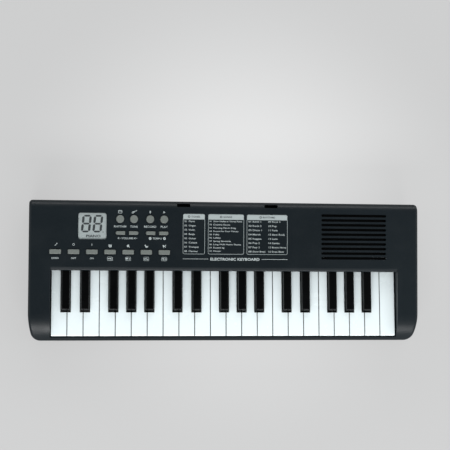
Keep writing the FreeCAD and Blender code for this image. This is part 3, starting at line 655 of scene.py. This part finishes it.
def printLabels():
    pieces = []
    bold = labels["bold"]
    for node, (words, width) in labels["round"].items():
        x, y = spot(node)
        pieces.append(printWords(words, x, y - labels["below"], labels["cap"], width, bold=bold))
    for node, (words, width) in labels["bars"].items():
        x, y = spot(node)
        pieces.append(printWords(words, x, y - labels["barBelow"], 1.9, width, bold=bold))
    x, y = spot("volume_rocker")
    y -= labels["rockerBelow"]
    pieces.append(printWords("VOLUME", x + 0.6, y, 2.15, 12.6, bold=0.02))
    x, y = spot("tempo_rocker")
    y -= labels["rockerBelow"]
    pieces.append(printWords("TEMPO", x + 0.2, y, 2.15, 10.2, bold=0.02))
    return joinPieces(pieces, "label_print")


def volumeIcons():
    x, y = spot("volume_rocker")
    y -= labels["rockerBelow"]
    pieces = []
    for side, centre in (("minus", x - 9.0), ("plus", x + 8.4)):
        pieces.append(printDisc(centre, y, 2.6, 2.6, sides=3, turn=90))
        pieces.append(printBar(centre + 0.2, y, 0.9, 1.1))
        pieces.append(printBar(centre + 2.0, y, 0.95, 0.35))
        if side == "plus":
            pieces.append(printBar(centre + 2.0, y, 0.35, 0.95))
    return pieces


def tempoIcons():
    x, y = spot("tempo_rocker")
    y -= labels["rockerBelow"]
    pieces = []
    for centre, plus in ((x - 7.5, True), (x + 7.9, False)):
        pieces.append(printDisc(centre, y, 3.0, 3.0, sides=24, line=0.75))
        pieces.append(printBar(centre, y, 1.7, 0.5))
        if plus:
            pieces.append(printBar(centre, y, 0.5, 1.7))
    return pieces


def drumIcon(x, y):
    return [
        printOutline(x, y - 0.3, 4.4, 2.7, 1.1, 0.45),
        printDisc(x - 1.0, y + 1.0, 2.6, 1.3, line=0.42, turn=12),
        printDisc(x + 1.0, y + 1.0, 2.6, 1.3, line=0.42, turn=-12),
    ]


def guitarIcon(x, y):
    return [
        printDisc(x - 1.1, y - 0.6, 2.9, 2.0, line=0.45, turn=28),
        printDisc(x - 0.1, y - 0.05, 1.7, 1.4, line=0.4, turn=28),
        printBar(x + 1.5, y + 0.85, 2.6, 0.45, turn=28),
        printBar(x + 2.7, y + 1.35, 0.8, 0.7, turn=28),
    ]


def microphoneIcon(x, y):
    return [
        printDisc(x, y + 0.45, 1.5, 2.1),
        printDisc(x, y - 0.3, 2.2, 1.4, sides=4),
        printBar(x, y - 1.2, 0.5, 1.2),
    ]


def playIcon(x, y):
    return [printDisc(x - 0.2, y, 2.7, 2.7, sides=3, turn=-90)]


def catIcon(x, y):
    return [
        printDisc(x, y - 0.2, 3.4, 2.8, line=0.9),
        printDisc(x, y - 0.7, 1.5, 0.9),
        printDisc(x - 1.2, y + 1.2, 1.3, 1.3, sides=3, turn=20),
        printDisc(x + 1.2, y + 1.2, 1.3, 1.3, sides=3, turn=-20),
    ]


def snailIcon(x, y):
    return [
        printDisc(x - 0.2, y + 0.25, 2.0, 3.0, turn=-30),
        printBar(x + 0.9, y - 0.9, 1.7, 0.8, turn=-40, radius=0.3),
        printBar(x - 0.9, y + 0.9, 1.4, 0.6, turn=50, radius=0.2),
    ]


def duckIcon(x, y):
    return [
        printDisc(x + 0.3, y - 0.7, 3.0, 1.5),
        printDisc(x - 0.8, y + 0.9, 1.4, 1.4),
        printBar(x - 0.75, y + 0.1, 0.7, 1.4),
        printDisc(x - 1.7, y + 0.8, 0.9, 0.7, sides=3, turn=90),
        printDisc(x + 1.7, y - 0.1, 0.9, 0.9, sides=3, turn=-30),
    ]


def birdIcon(x, y):
    return [
        printDisc(x - 0.8, y + 0.3, 1.6, 2.6, turn=20),
        printBar(x + 0.9, y + 0.5, 0.6, 2.8, turn=-35, radius=0.2),
        printBar(x + 0.9, y - 0.4, 0.6, 2.4, turn=35, radius=0.2),
        printBar(x - 0.9, y - 1.3, 0.4, 1.0),
    ]


def wandIcon(x, y):
    return [
        printBar(x, y - 0.2, 3.2, 0.5, turn=48),
        printDisc(x + 1.2, y + 1.2, 1.0, 1.0),
    ]


def powerIcons():
    x, y = spot("button_power_off")
    y += labels["iconAbove"]
    off = printDisc(x, y, 2.4, 2.4, line=0.4)
    x, y = spot("button_power_on")
    y += labels["iconAbove"]
    on = printBar(x, y, 0.5, 2.4)
    return [off, on]


drumKits = {   # what is drawn in each small frame: x, y, width, height, line
    "pad_1": [(-1.4, 0.0, 1.6, 1.0, None), (0.1, 0.2, 1.0, 1.7, None), (1.5, 0.0, 1.8, 2.2, 0.35)],
    "pad_2": [(-1.3, 0.4, 2.6, 1.6, None), (-1.3, -1.0, 1.4, 0.7, None), (1.4, -0.2, 1.4, 1.8, 0.35)],
    "pad_3": [(-1.4, -0.1, 0.9, 2.2, None), (0.0, 0.3, 1.2, 1.6, 0.35), (1.4, -0.5, 1.4, 1.2, 0.35)],
    "pad_4": [(-1.1, 0.3, 2.6, 1.0, None), (-0.6, -0.9, 1.5, 0.7, None), (1.5, -0.2, 1.8, 1.9, 0.35)],
}


def drumKitIcons(node):
    x, y = spot(node)
    y -= labels["barBelow"] + 0.4
    pieces = [printOutline(x, y, 5.8, 4.1, 0.9, 0.3)]
    for dx, dy, width, height, line in drumKits[node]:
        pieces.append(printDisc(x + dx, y + dy, width, height, sides=14, line=line))
    return pieces


def printIcons():
    pieces = volumeIcons() + tempoIcons() + powerIcons()
    above = {
        "button_rhythm": drumIcon, "button_tone": guitarIcon,
        "button_record": microphoneIcon, "button_play": playIcon,
    }
    for node, icon in above.items():
        x, y = spot(node)
        pieces += icon(x, y + labels["iconAbove"])
    padIcons = {"pad_1": catIcon, "pad_2": snailIcon, "pad_3": duckIcon, "pad_4": birdIcon}
    for node, icon in padIcons.items():
        x, y = spot(node)
        pieces += icon(x, y + 6.3)
        pieces += drumKitIcons(node)
    x, y = spot("button_demo")
    pieces += wandIcon(x + 0.6, y + 7.4)
    return joinPieces(pieces, "icon_print")


# the three lists: each a frame with a filled head, and rows of generic words
lists = {
    "top": 61.0, "bottom": 17.5, "head": 5.9, "line": 0.36, "radius": 1.8, "bold": 0.03,
    "tones": {
        "left": -48.7, "right": -24.8, "title": "TONES", "cap": 1.9, "rowGap": 4.62, "firstRow": 7.9,
        "columns": [(1.6, 2.9, ["01", "02", "03", "04", "05", "06", "07", "08"]),
                    (6.2, 11.0, ["Piano", "Organ", "Violin", "Banjo", "Guitar", "Celesta",
                                 "Trumpet", "Clarinet"])],
    },
    "songs": {
        "left": -21.3, "right": 17.95, "title": "SONGS", "cap": 1.6, "rowGap": 3.58, "firstRow": 7.7,
        "columns": [(1.4, 2.6, ["01", "02", "03", "04", "05", "06", "07", "08", "09", "10"]),
                    (5.6, 31.5, ["Slow Waltz in Three Parts", "Country Dance", "Morning March Song",
                           "Round for Four Voices", "Polka", "Lullaby", "Spring Serenade",
                           "Long Walk Home Theme", "Festival Jig", "Minuet"])],
    },
    "rhythms": {
        "left": 21.1, "right": 66.1, "title": "RHYTHMS", "cap": 1.9, "rowGap": 4.66, "firstRow": 7.6,
        "columns": [(1.8, 18.6, ["01 Rock 1", "02 Rock 2", "03 Disco 1", "04 March", "05 Reggae",
                           "06 Pop 2", "07 Pop 3", "08 Slow Beat"]),
                    (23.4, 20.2, ["09 Rock 3", "10 Pop", "11 Funk", "12 Slow Rock", "13 Latin",
                            "14 Samba", "15 Bossa Nova", "16 Even Beat"])],
    },
}


def printLists():
    frames = []
    heads = []
    words = []
    titles = []
    top = lists["top"]
    height = top - lists["bottom"]
    for key in ("tones", "songs", "rhythms"):
        entry = lists[key]
        width = entry["right"] - entry["left"]
        centre = (entry["left"] + entry["right"]) / 2
        radius = lists["radius"]
        frames.append(printOutline(centre, top - height / 2, width, height, radius, lists["line"]))
        head = lists["head"]
        heads.append(printHead(centre, top, width, head, radius))
        title = entry["title"]
        long = len(title) * 1.9
        level = top - head / 2
        titles.append(printWords(title, centre + 1.8, level, 2.0, long, bold=0.05))
        titles.append(printDisc(centre - long / 2 - 0.6, level, 2.6, 2.6, line=0.6))
        for indent, wide, rows in entry["columns"]:
            x = entry["left"] + indent
            y = top - entry["firstRow"]
            words.append(printWords(
                "\n".join(rows), x, y, entry["cap"], wide, "LEFT", lists["bold"], entry["rowGap"]))
    for title in titles:
        title.data.transform(Matrix.Translation(panelNormal * ink["thickness"] * mm))
    return {
        "list_frame_print": (frames + heads, "barInk"),
        "list_word_print": (words, "paleInk"),
        "list_title_print": (titles, "darkInk"),
    }


slogan = {
    "words": "ELECTRONIC KEYBOARD", "y": 12.4, "cap": 2.9, "width": 54.0, "centre": 8.2,
    "gap": 2.2, "bold": 0.12, "line": 0.4,
}


def printSlogan():
    left = lists["tones"]["left"]
    right = lists["rhythms"]["right"]
    centre = slogan["centre"]
    y = slogan["y"]
    half = slogan["width"] / 2 + slogan["gap"]
    pieces = [printWords(
        slogan["words"], centre, y, slogan["cap"], slogan["width"], bold=slogan["bold"])]
    for start, end in ((left, centre - half), (centre + half, right)):
        pieces.append(printBar((start + end) / 2, y, end - start, slogan["line"]))
    return joinPieces(pieces, "slogan_print")


finishPiece(printLabels(), materials["paleInk"])
finishPiece(printIcons(), materials["paleInk"])
finishPiece(printSlogan(), materials["paleInk"])
for name, (parts, inkName) in printLists().items():
    finishPiece(joinPieces(parts, name), materials[inkName])
print("panel printed")


# black cloth behind the grille: the strips of it that show
grilleCloth = {
    "left": 104.0, "right": 176.8, "firstY": 14.2, "pitch": 5.19, "rows": 10, "height": 2.8,
    "depth": -2.3,
}


def makeGrilleCloth():
    strips = []
    width = grilleCloth["right"] - grilleCloth["left"]
    centre = (grilleCloth["left"] + grilleCloth["right"]) / 2
    height = grilleCloth["height"]
    for row in range(grilleCloth["rows"]):
        y = grilleCloth["firstY"] + row * grilleCloth["pitch"]
        strip = printBar(centre, y, width, height, radius=height * 0.49)
        strip.data.transform(Matrix.Translation(panelNormal * grilleCloth["depth"] * mm))
        strips.append(strip)
    finishPiece(joinPieces(strips, "grille_cloth"), materials["blackCloth"])


makeGrilleCloth()


# the display: film, digits and word under a thin clear pane
display = {
    "paneThickness": 1.0,
    "film": 0.3,
    "corner": 2.5,
    "digitHeight": 18.8,
    "digitWidth": 10.0,
    "barStroke": 1.9,        # the three level segments of a digit
    "postStroke": 2.5,       # and its four upright ones
    "gap": 0.45,
    "lean": 0.105,
    "digits": (-6.5, 5.7),
    "digitY": 2.5,
    "dot": (11.4, -6.3, 1.06),
    "word": "PIANO",
    "wordCap": 2.7,
    "wordWidth": 15.6,
    "wordPlace": (1.0, -10.65),
    "wordBold": 0.12,
}


def displaySize():
    low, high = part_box("display_window")
    return (high.x - low.x) / mm, (high.y - low.y) / math.cos(panelTilt) / mm


def roundedPlate(width, height, radius, low, high, bevel=0.0):
    # heights are along the panel's normal, in mm
    deselectAll()
    bpy.ops.mesh.primitive_plane_add(size=1.0)
    obj = bpy.context.object
    obj.data.transform(Matrix.Diagonal((width * mm, height * mm, 1.0, 1.0)))
    editAll()
    bpy.ops.mesh.bevel(offset=radius * mm, offset_pct=0, segments=6, affect="VERTICES")
    leaveEdit()
    applyModifier(obj, "SOLIDIFY", thickness=(high - low) * mm, offset=0.0)
    if bevel:
        applyModifier(obj, "BEVEL", width=bevel * mm, segments=3, limit_method="ANGLE")
    obj.data.transform(Matrix.Translation((0, 0, (high + low) / 2 * mm)))
    return obj


def segment(x, y, length, stroke, upright):
    deselectAll()
    bpy.ops.mesh.primitive_plane_add(size=1.0)
    obj = bpy.context.object
    obj.data.transform(Matrix.Diagonal((length * mm, stroke * mm, 1.0, 1.0)))
    editAll()
    bpy.ops.mesh.bevel(offset=stroke * 0.46 * mm, offset_pct=0, segments=1, affect="VERTICES")
    leaveEdit()
    applyModifier(obj, "SOLIDIFY", thickness=0.04 * mm, offset=0.0)
    if upright:
        obj.data.transform(Matrix.Rotation(math.pi / 2, 4, "Z"))
    obj.data.transform(Matrix.Translation((x * mm, y * mm, 0)))
    return obj


def digitSegments(centre):
    bar = display["barStroke"]
    post = display["postStroke"]
    side = (display["digitWidth"] - post) / 2
    rise = (display["digitHeight"] - bar) / 2
    across = 2 * side - 2 * display["gap"]
    along = rise - 2 * display["gap"]
    pieces = [segment(centre, y, across, bar, False) for y in (-rise, 0, rise)]
    for x in (-side, side):
        for y in (-rise / 2, rise / 2):
            pieces.append(segment(centre + x, y, along, post, True))
    return pieces


def makeDisplay():
    width, height = displaySize()
    centre = middle("display_window")
    thin = display["paneThickness"]
    film = roundedPlate(width, height, display["corner"], -thin - display["film"], -thin - 0.05)
    pane = roundedPlate(width, height, display["corner"], -thin, 0.0, bevel=0.2)
    pieces = []
    for x in display["digits"]:
        pieces += digitSegments(x)
    digits = joinPieces(pieces, "display_digits")
    lean = Matrix.Identity(4)
    lean[0][1] = display["lean"]
    digits.data.transform(Matrix.Translation((0, display["digitY"] * mm, 0)) @ lean)
    deselectAll()
    x, y, size = display["dot"]
    bpy.ops.mesh.primitive_circle_add(vertices=16, radius=size / 2 * mm, fill_type="NGON")
    dot = bpy.context.object
    applyModifier(dot, "SOLIDIFY", thickness=0.04 * mm, offset=0.0)
    dot.data.transform(Matrix.Translation((x * mm, y * mm, 0)))
    digits = joinPieces([digits, dot], "display_digits")
    digits.data.transform(Matrix.Translation((0, 0, -(thin + 0.045) * mm)))
    for obj in (film, pane, digits):
        layOnPanel(obj, centre.x, centre.y)
    x = centre.x / mm + display["wordPlace"][0]
    y = centre.y / mm + display["wordPlace"][1]
    word = printWords(
        display["word"], x, y, display["wordCap"], display["wordWidth"], bold=display["wordBold"])
    word.data.transform(Matrix.Translation(panelNormal * -(thin + 0.045) * mm))
    word.name = "display_word"
    film.name = "display_film"
    pane.name = "display_pane"
    finishPiece(film, materials["displayFilm"])
    finishPiece(digits, materials["digitInk"])
    finishPiece(word, materials["digitInk"])
    finishPiece(pane, materials["clearPane"])
    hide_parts("display_window")


makeDisplay()
print("display made")


# studio: a softly glowing pale floor, a world darker overhead than all round, and soft lights
studio = {
    "floorBase": 0.12,
    "floorGlow": (0.675, 0.46),          # emission in the middle of the pale pool and far from it
    "poolCentre": (0.027, 0.078, 0.0),
    "poolRadius": 0.29,
    "worldHorizon": (0.93, 0.98, 1.0),
    "worldZenith": 0.3,
    "worldTurn": (0.915, 0.955),        # sine of the elevation where it starts to darken, and ends
    "worldStrength": 0.74,
    "lights": {
        "front": {"at": (-0.1, -1.4, 0.95), "aim": (0, 0, 0.03), "size": (1.6, 0.5), "power": 34.0},
        "rear": {"at": (0.2, 1.5, 0.7), "aim": (0, 0, 0.03), "size": (1.8, 0.5), "power": 13.0},
        "right": {"at": (1.6, 0.0, 0.9), "aim": (0, 0, 0.03), "size": (0.6, 1.2), "power": 4.0},
        "left": {"at": (-1.6, 0.0, 0.9), "aim": (0, 0, 0.03), "size": (0.6, 1.2), "power": 2.0},
    },
    "camera": (-170.46, -89.75, 1308.03),
    "cameraTurn": (6.249, -7.522, -0.208),
    "lens": 94.545,
}


def makeFloor():
    deselectAll()
    bpy.ops.mesh.primitive_plane_add(size=8.0, location=(0, 0, 0))
    floor = bpy.context.object
    floor.name = "floor"
    mat, tree, shader, vector = startMaterial("glowingPoolBackdrop")
    # painted light: the floor glows, brightest in a round pool around poolCentre, a painted pool of
    # light that also lifts the shadow under the keyboard
    shifted = addNode(tree, "ShaderNodeVectorMath", operation="DISTANCE")
    tree.links.new(vector, shifted.inputs[0])
    shifted.inputs[1].default_value = studio["poolCentre"]
    inner, outer = studio["floorGlow"]
    glow = remap(tree, shifted.outputs["Value"], 0.0, studio["poolRadius"], inner, outer)
    speck = remap(tree, noise(tree, vector, 900.0, 2.0), 0.3, 0.7, 0.985, 1.0)
    tree.links.new(mathNode(tree, "MULTIPLY", glow, speck), shader.inputs["Emission Strength"])
    shader.inputs["Emission Color"].default_value = (1.0, 1.0, 1.0, 1.0)
    base = studio["floorBase"]
    shader.inputs["Base Color"].default_value = (base, base, base, 1.0)
    shader.inputs["Roughness"].default_value = 0.9
    shader.inputs["Specular IOR Level"].default_value = 0.0
    floor.data.materials.append(mat)


def makeLights():
    world = bpy.data.worlds.new("softbox")
    world.use_nodes = True
    tree = world.node_tree
    background = tree.nodes["Background"]
    direction = addNode(tree, "ShaderNodeSeparateXYZ")
    tree.links.new(addNode(tree, "ShaderNodeTexCoord").outputs["Generated"], direction.inputs[0])
    start, end = studio["worldTurn"]
    dark = remap(tree, direction.outputs["Z"], start, end)
    horizon = studio["worldHorizon"]
    zenith = tuple(c * studio["worldZenith"] for c in horizon)
    tree.links.new(blendColour(tree, dark, horizon, zenith), background.inputs["Color"])
    background.inputs["Strength"].default_value = studio["worldStrength"]
    bpy.context.scene.world = world
    for name, light in studio["lights"].items():
        data = bpy.data.lights.new(name, "AREA")
        data.shape = "RECTANGLE"
        data.size, data.size_y = light["size"]
        data.energy = light["power"]
        obj = bpy.data.objects.new(name, data)
        bpy.context.scene.collection.objects.link(obj)
        obj.location = light["at"]
        towards = Vector(light["aim"]) - Vector(light["at"])
        obj.rotation_euler = towards.to_track_quat("-Z", "Y").to_euler()


def makeCamera():
    data = bpy.data.cameras.new("camera")
    data.lens = studio["lens"]
    data.sensor_width = 36.0
    data.clip_start = 0.05
    data.clip_end = 30.0
    camera = bpy.data.objects.new("camera", data)
    bpy.context.scene.collection.objects.link(camera)
    camera.location = Vector(studio["camera"]) * mm
    camera.rotation_euler = Euler([math.radians(a) for a in studio["cameraTurn"]], "XYZ")
    bpy.context.scene.camera = camera


makeFloor()
makeLights()
makeCamera()
bpy.context.scene.view_settings.view_transform = "Standard"
print("studio set")
